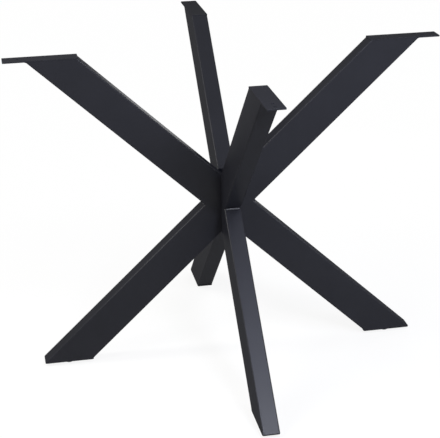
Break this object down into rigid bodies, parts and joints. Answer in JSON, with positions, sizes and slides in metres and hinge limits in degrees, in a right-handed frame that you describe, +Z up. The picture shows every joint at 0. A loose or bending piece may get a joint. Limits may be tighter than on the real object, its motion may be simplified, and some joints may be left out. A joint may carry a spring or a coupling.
{
  "type": "table base",
  "caption": "Spider table base: a full cross and two half crosses of black rectangular steel tube meet at one hub, with screw plates on top and levelling glides below.",
  "frame": {"origin": "on the floor, under the point where the legs' centre lines cross", "axes": "+Z up to the table top, X along the full cross, whose long tube rises towards -X, and Y along the two half crosses, with the front one at -Y"},
  "size_m": [0.9596, 0.9596, 0.72],
  "materials": {
    "powder_coat": "fine satin powder coat over steel, near black",
    "zinc_plate": "bright zinc plate",
    "glide_plastic": "moulded, matt"
  },
  "bodies": {
    "root": {"cross_long_tube": "powder_coat", "cross_upper_tube": "powder_coat", "cross_lower_tube": "powder_coat", "front_half_upper_tube": "powder_coat", "front_half_lower_tube": "powder_coat", "front_half_joint_plate": "powder_coat", "front_half_hook_studs": "zinc_plate", "front_half_hook_nuts": "zinc_plate", "back_half_upper_tube": "powder_coat", "back_half_lower_tube": "powder_coat", "back_half_joint_plate": "powder_coat", "back_half_hook_studs": "zinc_plate", "back_half_hook_nuts": "zinc_plate", "right_top_plate": "powder_coat", "back_top_plate": "powder_coat", "left_top_plate": "powder_coat", "front_top_plate": "powder_coat", "right_foot_plate": "powder_coat", "back_foot_plate": "powder_coat", "left_foot_plate": "powder_coat", "front_foot_plate": "powder_coat", "right_foot_nut": "zinc_plate", "back_foot_nut": "zinc_plate", "left_foot_nut": "zinc_plate", "front_foot_nut": "zinc_plate", "right_glide_stud": "zinc_plate", "back_glide_stud": "zinc_plate", "left_glide_stud": "zinc_plate", "front_glide_stud": "zinc_plate", "right_glide_pad": "glide_plastic", "back_glide_pad": "glide_plastic", "left_glide_pad": "glide_plastic", "front_glide_pad": "glide_plastic"}
  },
  "joints": []
}
